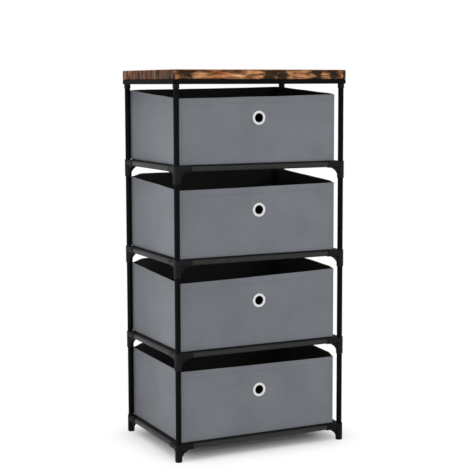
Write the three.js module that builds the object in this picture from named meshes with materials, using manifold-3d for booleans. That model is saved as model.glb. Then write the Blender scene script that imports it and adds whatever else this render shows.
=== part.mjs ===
// Fabric drawer dresser: a four level tower with a board top, tube posts and rails, moulded corner
// connectors, shelf panels and four open fabric drawers that slide out to the front.
// Units are millimetres. +Z is up, the drawers face -Y, and the origin is on the floor under the
// middle of the board.

import * as THREE from 'three';
import * as BufferGeometryUtils from 'three/addons/utils/BufferGeometryUtils.js';
import Module from 'manifold-3d';

const wasm = await Module();
wasm.setup();

// Driving dimensions: layout
const postSpacingX = 530;
const postSpacingY = 370;
const lowestRailAxis = 42;
const levelCount = 4;

// Driving dimensions: tubes and fits
const tubeDiameter = 16;
const tubeWall = 1.2;
const fitGap = 0.3;
const cutOverrun = 5;
const weldDistance = 0.0001;
const roundSides = 16;

// Driving dimensions: board and the steel angle frame under it
const boardThickness = 27.5;
const boardOverhang = 11.5;
const boardCornerRadius = 5;
const boardEdgeRound = 1.2;
const boardEdgeSteps = 2;
const frameHeight = 13;
const frameWall = 1.2;
const frameFlangeWidth = 26;
const cornerSteps = 3;

// Driving dimensions: post collars
const collarDrop = 12;
const collarBead = 0.5;
const collarBeadHeight = 3;

// Driving dimensions: connectors
const sleeveWall = 1.9;
const socketWall = 1.6;
const legLength = 41;
const socketReach = 44;
const socketFloor = 1.2;
const webThickness = 5;
const webReach = 34;
const webDrop = 31;
const webHollow = 0.5;
const webSteps = 3;
const footFloor = 6;
const footRound = 2;

// Driving dimensions: shelf panels
const panelThickness = 2;
const panelPastAxis = 1;

// Driving dimensions: fabric drawers and their base boards
const drawerHeight = 203;
const drawerHeadroom = 23.6;
const drawerLegClearance = 10.4;
const drawerSetback = 4;
const drawerRearReach = 4;
const drawerLeftClearance = 0.5;
const drawerRightClearance = 10;
const drawerWall = 3;
const drawerFloor = 3;
const drawerCornerRadius = 5;
const baseBoardThickness = 2.5;
const baseBoardClearance = 1;

// Driving dimensions: eyelets
const eyeletDiameter = 41;
const eyeletHole = 26;
const eyeletFlange = 1.4;
const eyeletNeckWall = 1.2;
const eyeletBelowRim = 73;
const eyeletSides = 24;

// Sizes that follow from the driving dimensions
const tubeRadius = tubeDiameter / 2;
const boreRadius = tubeRadius + fitGap;
const sleeveRadius = boreRadius + sleeveWall;
const socketRadius = boreRadius + socketWall;
const railStop = sleeveRadius + socketFloor;
const railSeat = railStop + fitGap;
const panelUnderside = tubeRadius + fitGap;
const panelTop = panelUnderside + panelThickness;
const drawerUnderside = panelTop + fitGap;
const levelPitch = drawerUnderside + drawerHeight + drawerLegClearance + legLength;
const topRailAxis = lowestRailAxis + (levelCount - 1) * levelPitch;
const frameBottom = topRailAxis + drawerUnderside + drawerHeight + drawerHeadroom;
const frameTop = frameBottom + frameHeight;
const boardUnderside = frameTop + fitGap;
const flangeUnderside = frameTop - frameWall;
const postTop = flangeUnderside - fitGap;
const postBottom = footFloor + fitGap;
const collarRadius = boardOverhang - frameWall - fitGap;
const boardWidth = postSpacingX + 2 * boardOverhang;
const boardDepth = postSpacingY + 2 * boardOverhang;
const drawerLeft = -postSpacingX / 2 + tubeRadius + drawerLeftClearance;
const drawerRight = postSpacingX / 2 - tubeRadius - drawerRightClearance;
const drawerWidth = drawerRight - drawerLeft;
const drawerMiddleX = (drawerLeft + drawerRight) / 2;
const drawerFront = -postSpacingY / 2 + drawerSetback;
const drawerBack = postSpacingY / 2 + drawerRearReach;
const drawerDepth = drawerBack - drawerFront;
const drawerMiddleY = (drawerFront + drawerBack) / 2;
const railAxisHeights = Array.from(
  { length: levelCount },
  (_, level) => lowestRailAxis + level * levelPitch,
);

// Materials
const wood = new THREE.MeshStandardMaterial({ color: 0x8a6243, roughness: 0.55, metalness: 0 });
const blackSteel = new THREE.MeshStandardMaterial({ color: 0x17171a, roughness: 0.4, metalness: 0.4 });
const blackPlastic = new THREE.MeshStandardMaterial({ color: 0x121214, roughness: 0.5, metalness: 0 });
const blackPanel = new THREE.MeshStandardMaterial({ color: 0x1b1b1c, roughness: 0.8, metalness: 0 });
const greyFabric = new THREE.MeshStandardMaterial({ color: 0x75787c, roughness: 0.95, metalness: 0 });
const insertBoard = new THREE.MeshStandardMaterial({ color: 0x19191b, roughness: 0.9, metalness: 0 });
const brightMetal = new THREE.MeshStandardMaterial({ color: 0xd5d6d8, roughness: 0.2, metalness: 1 });

const dresser = new THREE.Group();
dresser.name = 'fabric_drawer_dresser';

// Solids from geometries, for joins and cuts
function solidOf(geometry) {
  const bare = geometry.index ? geometry.toNonIndexed() : geometry.clone();
  bare.deleteAttribute('normal');
  bare.deleteAttribute('uv');
  const merged = BufferGeometryUtils.mergeVertices(bare, weldDistance);
  const mesh = new wasm.Mesh({
    numProp: 3,
    vertProperties: new Float32Array(merged.attributes.position.array),
    triVerts: new Uint32Array(merged.index.array),
  });
  mesh.merge();
  return new wasm.Manifold(mesh);
}

function geometryOf(solid) {
  const mesh = solid.getMesh();
  const geometry = new THREE.BufferGeometry();
  geometry.setAttribute('position', new THREE.BufferAttribute(new Float32Array(mesh.vertProperties), 3));
  geometry.setIndex(new THREE.BufferAttribute(new Uint32Array(mesh.triVerts), 1));
  geometry.computeVertexNormals();
  return geometry;
}

function joined(parts) {
  return parts.reduce((whole, part) => whole.add(part));
}

function without(whole, cuts) {
  return cuts.reduce((rest, cut) => rest.subtract(cut), whole);
}

// A round bar or tube along +Z, from a closed profile of [radius, height] points
function turned(profile, sides = roundSides) {
  const points = profile.map(([radius, height]) => new THREE.Vector2(radius, height));
  const geometry = new THREE.LatheGeometry(points, sides);
  return geometry.rotateX(Math.PI / 2);
}

function bar(radius, bottom, top, sides = roundSides) {
  return turned([[0, bottom], [radius, bottom], [radius, top], [0, top]], sides);
}

function tube(outerRadius, innerRadius, bottom, top) {
  return turned([
    [innerRadius, bottom],
    [outerRadius, bottom],
    [outerRadius, top],
    [innerRadius, top],
    [innerRadius, bottom],
  ]);
}

// Turns a geometry that lies along +Z so that it lies along +X or +Y
function alongX(geometry) {
  return geometry.rotateY(Math.PI / 2);
}

function alongY(geometry) {
  return geometry.rotateX(-Math.PI / 2);
}

// A rounded rectangle about the origin
function roundedRectangle(width, depth, radius) {
  const halfWidth = width / 2;
  const halfDepth = depth / 2;
  const shape = new THREE.Shape();
  shape.moveTo(halfWidth, -halfDepth + radius);
  shape.absarc(halfWidth - radius, halfDepth - radius, radius, 0, Math.PI / 2);
  shape.absarc(-halfWidth + radius, halfDepth - radius, radius, Math.PI / 2, Math.PI);
  shape.absarc(-halfWidth + radius, -halfDepth + radius, radius, Math.PI, Math.PI * 1.5);
  shape.absarc(halfWidth - radius, -halfDepth + radius, radius, Math.PI * 1.5, Math.PI * 2);
  return shape;
}

// A plate with rounded corners, from bottom to top
function roundedPlate(width, depth, radius, bottom, top) {
  const geometry = new THREE.ExtrudeGeometry(roundedRectangle(width, depth, radius), {
    depth: top - bottom,
    bevelEnabled: false,
    curveSegments: cornerSteps,
  });
  return geometry.translate(0, 0, bottom);
}

// Adds one named piece at its place
function addMesh(name, geometry, material, x = 0, y = 0, z = 0) {
  const mesh = new THREE.Mesh(geometry, material);
  mesh.name = name;
  mesh.position.set(x, y, z);
  dresser.add(mesh);
  return mesh;
}

// The four corners, with the quarter turns that point a connector's sockets inwards
const corners = [
  { name: 'front_left', x: -postSpacingX / 2, y: -postSpacingY / 2, quarterTurns: 0 },
  { name: 'front_right', x: postSpacingX / 2, y: -postSpacingY / 2, quarterTurns: 1 },
  { name: 'rear_right', x: postSpacingX / 2, y: postSpacingY / 2, quarterTurns: 2 },
  { name: 'rear_left', x: -postSpacingX / 2, y: postSpacingY / 2, quarterTurns: 3 },
];

// Top board with rounded corners and softened edges
function boardGeometry() {
  const outline = roundedRectangle(
    boardWidth - 2 * boardEdgeRound,
    boardDepth - 2 * boardEdgeRound,
    boardCornerRadius - boardEdgeRound,
  );
  const geometry = new THREE.ExtrudeGeometry(outline, {
    depth: boardThickness - 2 * boardEdgeRound,
    bevelEnabled: true,
    bevelThickness: boardEdgeRound,
    bevelSize: boardEdgeRound,
    bevelSegments: boardEdgeSteps,
    curveSegments: cornerSteps,
  });
  return geometry.translate(0, 0, boardEdgeRound);
}

// Angle frame: an upright rim all round and a flat flange under the board, open in the middle
function topFrameGeometry() {
  const innerRadius = boardCornerRadius - frameWall;
  const outer = roundedPlate(boardWidth, boardDepth, boardCornerRadius, frameBottom, frameTop);
  const pocket = roundedPlate(
    boardWidth - 2 * frameWall,
    boardDepth - 2 * frameWall,
    innerRadius,
    frameBottom - cutOverrun,
    flangeUnderside,
  );
  const window = roundedPlate(
    boardWidth - 2 * frameFlangeWidth,
    boardDepth - 2 * frameFlangeWidth,
    innerRadius,
    frameBottom - cutOverrun,
    frameTop + cutOverrun,
  );
  return geometryOf(without(solidOf(outer), [solidOf(pocket), solidOf(window)]));
}

// Collar round the top of a post, from the flange down to just below the rim
function collarGeometry() {
  const bottom = frameBottom - collarDrop;
  const beadTop = bottom + collarBeadHeight;
  return turned([
    [boreRadius, bottom],
    [collarRadius, bottom],
    [collarRadius, beadTop],
    [collarRadius - collarBead, beadTop + collarBead],
    [collarRadius - collarBead, frameBottom - collarBead],
    [collarRadius, frameBottom],
    [collarRadius, postTop],
    [boreRadius, postTop],
    [boreRadius, bottom],
  ]);
}

// Web under a socket, in the plane of +X and +Z, with a slightly hollow slanting edge
function webGeometry() {
  const shape = new THREE.Shape();
  const inner = boreRadius + fitGap;
  const bendX = THREE.MathUtils.lerp((sleeveRadius + webReach) / 2, sleeveRadius, webHollow);
  const bendZ = THREE.MathUtils.lerp((webDrop + socketRadius) / 2, socketRadius, webHollow);
  shape.moveTo(inner, -inner);
  shape.lineTo(inner, -webDrop);
  shape.lineTo(sleeveRadius - fitGap, -webDrop);
  shape.quadraticCurveTo(bendX, -bendZ, webReach, -socketRadius + fitGap);
  shape.lineTo(webReach, -inner);
  const geometry = new THREE.ExtrudeGeometry(shape, {
    depth: webThickness,
    bevelEnabled: false,
    curveSegments: webSteps,
  });
  geometry.translate(0, 0, -webThickness / 2);
  return geometry.rotateX(Math.PI / 2);
}

// Connector about the crossing of the post axis and the rail axes, sockets along +X and +Y
function connectorGeometry(isFoot) {
  const legBottom = isFoot ? -lowestRailAxis : -legLength;
  const lowerEdge = isFoot ? footRound : 0;
  const sleeve = turned([
    [0, legBottom],
    [sleeveRadius - lowerEdge, legBottom],
    [sleeveRadius, legBottom + lowerEdge],
    [sleeveRadius, socketRadius],
    [0, socketRadius],
  ]);
  const socketX = alongX(bar(socketRadius, 0, socketReach));
  const socketY = alongY(bar(socketRadius, 0, socketReach));
  const webX = webGeometry();
  const webY = webGeometry().rotateZ(Math.PI / 2);
  const boreBottom = isFoot ? legBottom + footFloor : legBottom - cutOverrun;
  const postBore = bar(boreRadius, boreBottom, socketRadius + cutOverrun);
  const railBoreX = alongX(bar(boreRadius, railStop, socketReach + cutOverrun));
  const railBoreY = alongY(bar(boreRadius, railStop, socketReach + cutOverrun));
  const body = joined([sleeve, socketX, socketY, webX, webY].map(solidOf));
  return geometryOf(without(body, [postBore, railBoreX, railBoreY].map(solidOf)));
}

// Shelf panel on the rails, stepped at its corners to clear the posts and the sockets
function panelGeometry() {
  const edgeX = postSpacingX / 2 + panelPastAxis;
  const edgeY = postSpacingY / 2 + panelPastAxis;
  const besideSocket = socketRadius + fitGap;
  const pastSocket = socketReach + fitGap;
  const steps = [
    [edgeX, postSpacingY / 2 - pastSocket],
    [postSpacingX / 2 - besideSocket, postSpacingY / 2 - pastSocket],
    [postSpacingX / 2 - besideSocket, postSpacingY / 2 - besideSocket],
    [postSpacingX / 2 - pastSocket, postSpacingY / 2 - besideSocket],
    [postSpacingX / 2 - pastSocket, edgeY],
  ];
  const backwards = [...steps].reverse();
  const outline = [
    ...steps,
    ...backwards.map(([x, y]) => [-x, y]),
    ...steps.map(([x, y]) => [-x, -y]),
    ...backwards.map(([x, y]) => [x, -y]),
  ];
  const shape = new THREE.Shape(outline.map(([x, y]) => new THREE.Vector2(x, y)));
  return new THREE.ExtrudeGeometry(shape, { depth: panelThickness, bevelEnabled: false });
}

// Fabric drawer with an open top and a hole through its front for the eyelet, standing on z = 0
function drawerGeometry() {
  const outer = roundedPlate(drawerWidth, drawerDepth, drawerCornerRadius, 0, drawerHeight);
  const inside = roundedPlate(
    drawerWidth - 2 * drawerWall,
    drawerDepth - 2 * drawerWall,
    drawerCornerRadius - drawerWall,
    drawerFloor,
    drawerHeight + cutOverrun,
  );
  const neckRadius = eyeletHole / 2 + eyeletNeckWall + fitGap;
  const hole = alongY(bar(neckRadius, -cutOverrun, drawerWall + cutOverrun, eyeletSides));
  hole.translate(0, -drawerDepth / 2, drawerHeight - eyeletBelowRim);
  return geometryOf(without(solidOf(outer), [solidOf(inside), solidOf(hole)]));
}

// Eyelet along +Y about the hole's centre in the drawer's front face, with a flange on each side
function eyeletGeometry() {
  const holeRadius = eyeletHole / 2;
  const neckRadius = holeRadius + eyeletNeckWall;
  const flangeRadius = eyeletDiameter / 2;
  const frontFace = -fitGap;
  const rearFace = drawerWall + fitGap;
  return alongY(turned([
    [holeRadius, frontFace - eyeletFlange],
    [(holeRadius + flangeRadius) / 2, frontFace - eyeletFlange],
    [flangeRadius, frontFace - eyeletFlange / 2],
    [flangeRadius, frontFace],
    [neckRadius, frontFace],
    [neckRadius, rearFace],
    [flangeRadius, rearFace],
    [flangeRadius, rearFace + eyeletFlange],
    [holeRadius, rearFace + eyeletFlange],
    [holeRadius, frontFace - eyeletFlange],
  ], eyeletSides));
}

// Base board that lies on the drawer's floor
function baseBoardGeometry() {
  const width = drawerWidth - 2 * (drawerWall + baseBoardClearance);
  const depth = drawerDepth - 2 * (drawerWall + baseBoardClearance);
  return new THREE.BoxGeometry(width, depth, baseBoardThickness).translate(0, 0, baseBoardThickness / 2);
}

// Top of the tower
addMesh('top_board', boardGeometry(), wood, 0, 0, boardUnderside);
addMesh('top_frame', topFrameGeometry(), blackSteel);

const postShape = tube(tubeRadius, tubeRadius - tubeWall, postBottom, postTop);
const collarShape = collarGeometry();
for (const corner of corners) {
  addMesh(`post_${corner.name}`, postShape, blackSteel, corner.x, corner.y);
  addMesh(`post_collar_${corner.name}`, collarShape, blackPlastic, corner.x, corner.y);
}

// Levels: connectors, rails and shelf panels
const footShape = connectorGeometry(true);
const connectorShape = connectorGeometry(false);
const railInnerRadius = tubeRadius - tubeWall;
const railHalfX = postSpacingX / 2 - railSeat;
const railHalfY = postSpacingY / 2 - railSeat;
const railShapeX = alongX(tube(tubeRadius, railInnerRadius, -railHalfX, railHalfX));
const railShapeY = alongY(tube(tubeRadius, railInnerRadius, -railHalfY, railHalfY));
const panelShape = panelGeometry();

railAxisHeights.forEach((axisHeight, level) => {
  const isFoot = level === 0;
  const levelName = level + 1;
  const connectorKind = isFoot ? 'foot_connector' : `connector_${levelName}`;
  for (const corner of corners) {
    const name = `${connectorKind}_${corner.name}`;
    const shape = isFoot ? footShape : connectorShape;
    const connector = addMesh(name, shape, blackPlastic, corner.x, corner.y, axisHeight);
    connector.rotation.z = corner.quarterTurns * Math.PI / 2;
  }
  addMesh(`rail_${levelName}_front`, railShapeX, blackSteel, 0, -postSpacingY / 2, axisHeight);
  addMesh(`rail_${levelName}_back`, railShapeX, blackSteel, 0, postSpacingY / 2, axisHeight);
  addMesh(`rail_${levelName}_left`, railShapeY, blackSteel, -postSpacingX / 2, 0, axisHeight);
  addMesh(`rail_${levelName}_right`, railShapeY, blackSteel, postSpacingX / 2, 0, axisHeight);
  addMesh(`shelf_panel_${levelName}`, panelShape, blackPanel, 0, 0, axisHeight + panelUnderside);
});

// Drawers, one on each shelf panel
const drawerShape = drawerGeometry();
const baseBoardShape = baseBoardGeometry();
const eyeletShape = eyeletGeometry();

railAxisHeights.forEach((axisHeight, level) => {
  const bottom = axisHeight + drawerUnderside;
  const baseBottom = bottom + drawerFloor + fitGap;
  const eyeletHeight = bottom + drawerHeight - eyeletBelowRim;
  const drawer = `drawer_${level + 1}`;
  addMesh(`${drawer}_fabric_bin`, drawerShape, greyFabric, drawerMiddleX, drawerMiddleY, bottom);
  addMesh(`${drawer}_base_board`, baseBoardShape, insertBoard, drawerMiddleX, drawerMiddleY, baseBottom);
  addMesh(`${drawer}_eyelet`, eyeletShape, brightMetal, drawerMiddleX, drawerFront, eyeletHeight);
});

export default dresser;
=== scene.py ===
# Fabric drawer dresser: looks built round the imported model. Metres, +Z up, drawers facing -Y.
import math

import bmesh
import bpy
from mathutils import Matrix, Vector, noise


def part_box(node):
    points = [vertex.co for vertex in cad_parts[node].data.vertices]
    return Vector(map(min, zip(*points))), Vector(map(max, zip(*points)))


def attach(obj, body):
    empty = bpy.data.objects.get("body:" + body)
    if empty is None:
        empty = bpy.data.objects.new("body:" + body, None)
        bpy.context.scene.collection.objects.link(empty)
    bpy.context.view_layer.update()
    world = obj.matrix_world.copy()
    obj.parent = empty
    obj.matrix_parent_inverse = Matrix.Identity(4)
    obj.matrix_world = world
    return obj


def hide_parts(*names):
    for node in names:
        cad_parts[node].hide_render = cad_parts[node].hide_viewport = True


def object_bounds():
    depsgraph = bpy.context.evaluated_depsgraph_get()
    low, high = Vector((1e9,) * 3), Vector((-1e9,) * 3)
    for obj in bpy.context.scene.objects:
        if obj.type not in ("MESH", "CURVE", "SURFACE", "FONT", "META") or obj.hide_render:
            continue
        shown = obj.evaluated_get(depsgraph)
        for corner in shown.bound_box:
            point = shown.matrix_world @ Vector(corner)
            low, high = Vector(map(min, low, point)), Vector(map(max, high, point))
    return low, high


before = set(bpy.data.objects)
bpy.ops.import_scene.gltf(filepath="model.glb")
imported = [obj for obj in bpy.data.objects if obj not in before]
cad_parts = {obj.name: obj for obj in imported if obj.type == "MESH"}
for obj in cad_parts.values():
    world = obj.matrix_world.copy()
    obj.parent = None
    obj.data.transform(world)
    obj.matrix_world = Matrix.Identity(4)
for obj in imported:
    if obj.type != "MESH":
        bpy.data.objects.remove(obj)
cad_low, cad_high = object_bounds()

MM = 0.001
CORNERS = ("front_left", "front_right", "rear_right", "rear_left")
LEVELS = (1, 2, 3, 4)


def linked(name, data):
    """A new object in the scene."""
    made = bpy.data.objects.new(name, data)
    bpy.context.scene.collection.objects.link(made)
    return made


# Camera at the photograph's viewing angle
PHOTO_SIDE = 470
SENSOR = 36
FOCAL_PIXELS = 1261.7
AXIS_ROW = 220.9
CAMERA_PLACE = Vector((-1.6620, -3.4105, 1.0706))
YAW, PITCH, ROLL = (math.radians(a) for a in (26.067, 6.138, -0.163))
SEES_TO = 200


def add_camera():
    ahead = Vector((math.sin(YAW) * math.cos(PITCH), math.cos(YAW) * math.cos(PITCH), -math.sin(PITCH)))
    level_right = Vector((math.cos(YAW), -math.sin(YAW), 0))
    level_up = level_right.cross(ahead)
    right = level_right * math.cos(ROLL) + level_up * math.sin(ROLL)
    up = level_up * math.cos(ROLL) - level_right * math.sin(ROLL)
    data = bpy.data.cameras.new("camera")
    data.sensor_width = SENSOR
    data.lens = FOCAL_PIXELS * SENSOR / PHOTO_SIDE
    data.shift_y = (AXIS_ROW - PHOTO_SIDE / 2) / PHOTO_SIDE
    data.clip_end = SEES_TO
    camera = linked("camera", data)
    turn = Matrix((right, up, -ahead)).transposed().to_4x4()
    camera.matrix_world = Matrix.Translation(CAMERA_PLACE) @ turn
    bpy.context.scene.camera = camera


# Node trees and materials
class Nodes:
    """Short ways to add and join the nodes of one tree."""

    def __init__(self, tree):
        self.tree = tree

    def node(self, kind, settings=None, **inputs):
        """A node with its settings. Inputs go by name, or by number as i0, i1 and so on."""
        made = self.tree.nodes.new(kind)
        for key, value in (settings or {}).items():
            setattr(made, key, value)
        for key, value in inputs.items():
            socket = made.inputs[int(key[1:]) if key[0] == "i" and key[1:].isdigit() else key]
            if isinstance(value, bpy.types.NodeSocket):
                self.tree.links.new(value, socket)
            else:
                socket.default_value = (*value, 1) if socket.type == "RGBA" else value
        return made

    def place(self):
        return self.node("ShaderNodeTexCoord").outputs["Object"]

    def flat_map(self, name):
        return self.node("ShaderNodeUVMap", {"uv_map": name}).outputs["UV"]

    def stretched(self, vector, scale):
        return self.node("ShaderNodeMapping", Vector=vector, Scale=scale).outputs["Vector"]

    def noise(self, vector, scale, detail=3.0, roughness=0.5, distortion=0.0):
        return self.node("ShaderNodeTexNoise", Vector=vector, Scale=scale, Detail=detail, Roughness=roughness,
                         Distortion=distortion).outputs["Fac"]

    def math(self, operation, a, b=0.0):
        return self.node("ShaderNodeMath", {"operation": operation}, i0=a, i1=b).outputs[0]

    def vector_math(self, operation, vector, *others):
        inputs = {f"i{number}": other for number, other in enumerate(others, 1)}
        made = self.node("ShaderNodeVectorMath", {"operation": operation}, i0=vector, **inputs)
        return made.outputs["Value" if operation == "LENGTH" else "Vector"]

    def plus(self, a, b):
        return self.math("ADD", a, b)

    def minus(self, a, b):
        return self.math("SUBTRACT", a, b)

    def times(self, a, b):
        return self.math("MULTIPLY", a, b)

    def spread(self, value, low, high, to_low=0.0, to_high=1.0):
        """Value eased from one range to another, and held at its ends."""
        ends = {"From Min": low, "From Max": high, "To Min": to_low, "To Max": to_high}
        made = self.node("ShaderNodeMapRange", {"interpolation_type": "SMOOTHSTEP"}, Value=value, **ends)
        return made.outputs["Result"]

    def nearest(self, value, places):
        """Distance to the nearest of some places, each measured in its own half length."""
        near = 2.0
        for place, reach in places:
            gone = self.math("ABSOLUTE", self.minus(value, place))
            near = self.math("MINIMUM", self.times(gone, 1 / reach), near)
        return near

    def ramp(self, value, stops):
        made = self.node("ShaderNodeValToRGB", Fac=value)
        band = made.color_ramp
        for element, (position, colour) in zip(band.elements, (stops[0], stops[-1])):
            element.position, element.color = position, (*colour, 1)
        for position, colour in stops[1:-1]:
            band.elements.new(position).color = (*colour, 1)
        return made.outputs["Color"]

    def mixed(self, amount, a, b, blend="MIX"):
        settings = {"data_type": "RGBA", "blend_type": blend}
        return self.node("ShaderNodeMix", settings, i0=amount, i6=a, i7=b).outputs[2]

    def tinted(self, amount, colour, tint):
        return self.mixed(amount, colour, tint, "MULTIPLY")

    def bump(self, height, distance, strength=1.0, **under):
        made = self.node("ShaderNodeBump", Height=height, Distance=distance, Strength=strength, **under)
        return made.outputs["Normal"]

    def shown_apart(self, lit, seen, output):
        """Shows one shader to camera, gloss and glass, and lights everything else by the other."""
        rays = self.node("ShaderNodeLightPath").outputs
        amount = rays["Is Camera Ray"]
        for kind in ("Is Glossy Ray", "Is Transmission Ray"):
            settings = {"operation": "ADD", "use_clamp": True}
            amount = self.node("ShaderNodeMath", settings, i0=amount, i1=rays[kind]).outputs[0]
        both = self.node("ShaderNodeMixShader", i0=amount, i1=lit.outputs[0], i2=seen.outputs[0])
        self.node(output, Surface=both.outputs[0])


class Finish(Nodes):
    """One material of the object."""

    def __init__(self, name, **sockets):
        self.material = bpy.data.materials.new(name)
        self.material.use_nodes = True
        super().__init__(self.material.node_tree)
        self.shader = self.tree.nodes["Principled BSDF"]
        for socket, value in sockets.items():
            self.shader.inputs[socket.replace("_", " ")].default_value = value

    def to_shader(self, socket, value):
        self.tree.links.new(value, self.shader.inputs[socket])

    def shades(self, value, dark, light):
        """A base colour from dark to light by a noise."""
        self.to_shader("Base Color", self.ramp(value, ((0.3, dark), (0.7, light))))


def painted_steel(name, specular, dark, light, smooth, rough):
    """Black powder paint with a fine orange-peel surface and faint handling marks."""
    paint = Finish(name, Specular_IOR_Level=specular)
    at = paint.place()
    cloud = paint.noise(at, 22.0, 4.0)
    peel = paint.noise(at, 700.0, 2.0)
    rubbed = paint.noise(paint.stretched(at, (30, 30, 160)), 6.0, 4.0, 0.65)
    paint.shades(cloud, dark, light)
    worn = paint.plus(cloud, paint.times(rubbed, 0.5))
    paint.to_shader("Roughness", paint.spread(worn, 0.5, 1.0, smooth, rough))
    paint.to_shader("Normal", paint.bump(peel, 0.00006, 0.6))
    return paint.material


def moulded_plastic(name, gloss):
    """Black moulded plastic with a fine spark-eroded grain."""
    plastic = Finish(name, Specular_IOR_Level=gloss)
    at = plastic.place()
    grain = plastic.noise(at, 1500.0, 2.0)
    flow = plastic.noise(at, 45.0, 3.0)
    plastic.shades(flow, (0.0050, 0.0050, 0.0053), (0.0085, 0.0085, 0.0088))
    mottled = plastic.plus(flow, plastic.times(grain, 0.4))
    plastic.to_shader("Roughness", plastic.spread(mottled, 0.5, 1.0, 0.42, 0.6))
    plastic.to_shader("Normal", plastic.bump(grain, 0.00005, 0.8))
    return plastic.material


# Pitch of the cloth's pressed dots, and the painted shade along a drawer's two rear folds as (place along its
# walls, half length)
DOT_PITCH = 1.3 * MM
REAR_FOLD_PAINTED_SHADE = ((0.866, 0.030), (1.368, 0.030))


def bonded_cloth(name, dark, light, fibre):
    """Non-woven cloth: pressed dots in rows, matted fibres, cloudy shades, and painted shade darkening the
    rear folds.
    """
    cloth = Finish(name, Sheen_Weight=0.07, Sheen_Roughness=0.5, Specular_IOR_Level=0.25)
    at = cloth.place()
    flat = cloth.node("ShaderNodeSeparateXYZ", Vector=cloth.flat_map("cloth"))
    along, across = flat.outputs[0], flat.outputs[1]
    turns = 2 * math.pi / DOT_PITCH
    rising = cloth.math("SINE", cloth.times(cloth.plus(along, across), turns))
    falling = cloth.math("SINE", cloth.times(cloth.minus(along, across), turns))
    pressed = cloth.spread(cloth.times(rising, falling), 0.25, 0.75)
    clouds = cloth.noise(at, 9.0, 3.0, 0.55)
    mats = cloth.noise(at, 160.0, 4.0, 0.7)
    hairs = cloth.noise(cloth.stretched(at, (1.0, 1.0, 0.35)), 900.0, 3.0, 0.7)
    tone = cloth.plus(cloth.times(clouds, 0.55), cloth.times(mats, 0.45))
    colour = cloth.ramp(tone, ((0.36, dark), (0.64, light)))
    colour = cloth.mixed(cloth.spread(hairs, 0.52, 0.72, 0.0, 0.35), colour, fibre)
    colour = cloth.mixed(cloth.times(pressed, 0.22), colour, dark)
    # Painted shade: the cloth is darkened along the two rear folds, where the rear posts shade it.
    painted_fold_shade = cloth.spread(cloth.nearest(along, REAR_FOLD_PAINTED_SHADE), 0.15, 1.0, 0.95, 0.0)
    cloth.to_shader("Base Color", cloth.tinted(painted_fold_shade, colour, (0.60, 0.60, 0.62)))
    cloth.to_shader("Roughness", cloth.spread(mats, 0.3, 0.7, 0.82, 0.95))
    soft = cloth.bump(hairs, 0.00010, 0.8, Normal=cloth.bump(mats, 0.0003, 0.5))
    cloth.to_shader("Normal", cloth.bump(cloth.minus(1.0, pressed), 0.00012, 0.8, Normal=soft))
    return cloth.material


def thread_finish():
    """Twisted sewing thread."""
    thread = Finish("grey_thread", Sheen_Weight=0.1, Specular_IOR_Level=0.3)
    twist = thread.noise(thread.place(), 2600.0, 2.0)
    thread.shades(twist, (0.10, 0.105, 0.112), (0.19, 0.198, 0.21))
    thread.to_shader("Roughness", thread.spread(twist, 0.3, 0.7, 0.6, 0.8))
    return thread.material


# Planks printed on the board's top, and on its front edge the dark knots and the pale patches, each as
# (place along X, half length)
PLANKS = 3
EDGE_KNOTS = ((-0.238, 0.027), (0.020, 0.027), (0.066, 0.026), (0.180, 0.015), (0.232, 0.016),
              (0.270, 0.006))
EDGE_PATCHES = ((-0.090, 0.052), (0.128, 0.020))


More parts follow.
